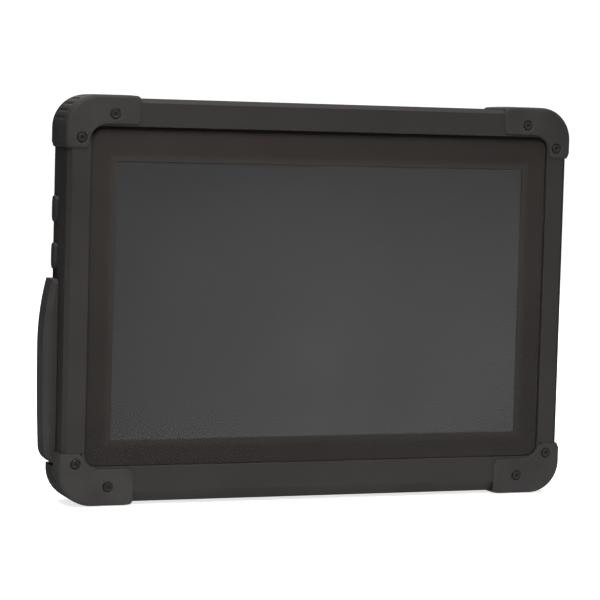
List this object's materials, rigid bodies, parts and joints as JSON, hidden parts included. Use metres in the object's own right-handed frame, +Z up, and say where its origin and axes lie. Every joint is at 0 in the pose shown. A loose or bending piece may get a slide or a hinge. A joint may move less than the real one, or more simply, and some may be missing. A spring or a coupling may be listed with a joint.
{
  "type": "data collector",
  "caption": "Rugged tablet data collector with corner bumpers, glass front, side keys, hinged connector cover, removable rear battery and rear bolt pattern.",
  "frame": {"origin": "middle of the standing surface, under the lower bumpers", "axes": "+Z up, +X to the user's right along the long side, -Y out of the display"},
  "size_m": [0.2746, 0.032, 0.2],
  "materials": {
    "case_plastic": "fine matt texture, very dark warm grey",
    "bumper_rubber": "matt moulded elastomer, near black",
    "cover_glass": "polished",
    "border_print": "dark brown-black print behind the glass",
    "adhesive": "dull",
    "display": "switched-off display, dark grey",
    "bare_metal": "plain sheet",
    "seal_rubber": "matt",
    "screw_steel": "black oxide",
    "board": "solder resist",
    "chip": "moulded package",
    "socket_metal": "nickel plated",
    "socket_plastic": "moulded",
    "brass": "turned",
    "cell_steel": "satin",
    "battery_plastic": "fine matt texture",
    "cover_plastic": "fine matt texture",
    "key_rubber": "matt, a little lighter than the case",
    "ceramic": "unglazed ceramic",
    "flex_film": "polyimide film",
    "lens_glass": "polished",
    "flash_lens": "clear moulded lens"
  },
  "bodies": {
    "case": {"audio_jack": "socket_plastic", "backlight_plate": "bare_metal", "battery_bushes": "brass", "battery_contacts": "socket_plastic", "battery_seal": "seal_rubber", "board_screws": "screw_steel", "bumper_bottom_left": "bumper_rubber", "bumper_bottom_right": "bumper_rubber", "bumper_screws": "screw_steel", "bumper_top_left": "bumper_rubber", "bumper_top_right": "bumper_rubber", "camera_module": "socket_plastic", "camera_window": "lens_glass", "chassis_plate": "bare_metal", "coin_cell": "cell_steel", "cover_glass": "cover_glass", "display_cable": "flex_film", "dock_connector": "socket_plastic", "dock_contacts": "brass", "flash_lens": "flash_lens", "front_housing": "case_plastic", "function_switch": "socket_plastic", "glass_adhesive": "adhesive", "glass_border_print": "border_print", "gnss_antenna": "ceramic", "heat_spreader": "bare_metal", "housing_screws": "screw_steel", "housing_seal": "seal_rubber", "io_board": "board", "io_door_pin": "screw_steel", "key_board": "board", "lcd_frame": "bare_metal", "lcd_panel": "display", "main_board": "board", "memory_module": "chip", "microphone": "chip", "mount_inserts": "brass", "power_jack": "socket_plastic", "power_switch": "socket_plastic", "processor": "chip", "radio_antenna_left": "flex_film", "radio_antenna_right": "flex_film", "radio_module": "chip", "rear_housing": "case_plastic", "solid_state_drive": "chip", "speaker_left": "socket_plastic", "speaker_right": "socket_plastic", "usb_c_socket": "socket_metal", "usb_socket_lower": "socket_metal", "usb_socket_upper": "socket_metal"},
    "io_door": {"io_door": "cover_plastic", "io_door_seal": "seal_rubber"},
    "battery": {"battery_pack": "battery_plastic"},
    "battery_screw_left": {"battery_screw_left": "screw_steel"},
    "battery_screw_right": {"battery_screw_right": "screw_steel"},
    "power_button": {"power_button": "key_rubber"},
    "function_button": {"function_button": "key_rubber"}
  },
  "joints": [
    {"name": "io_door_hinge", "type": "hinge", "parent": "case", "child": "io_door", "pos_m": [-0.13265, 0.0096, 0.065], "axis": [0, 0, -1], "range_deg": [0, 100]},
    {"name": "battery_slide", "type": "slide", "parent": "case", "child": "battery", "axis": [0, 1, 0], "range_m": [0, 0.03]},
    {"name": "battery_screw_left_turn", "type": "hinge", "parent": "battery", "child": "battery_screw_left", "pos_m": [-0.10025, 0.012, 0.078], "axis": [0, 1, 0], "range_deg": [0, 90]},
    {"name": "battery_screw_right_turn", "type": "hinge", "parent": "battery", "child": "battery_screw_right", "pos_m": [0.10575, 0.012, 0.078], "axis": [0, 1, 0], "range_deg": [0, 90]},
    {"name": "power_button_press", "type": "slide", "parent": "case", "child": "power_button", "axis": [1, 0, 0], "range_m": [0, 0.0008], "stiffness_N_per_m": 2000},
    {"name": "function_button_press", "type": "slide", "parent": "case", "child": "function_button", "axis": [1, 0, 0], "range_m": [0, 0.0008], "stiffness_N_per_m": 2000}
  ]
}
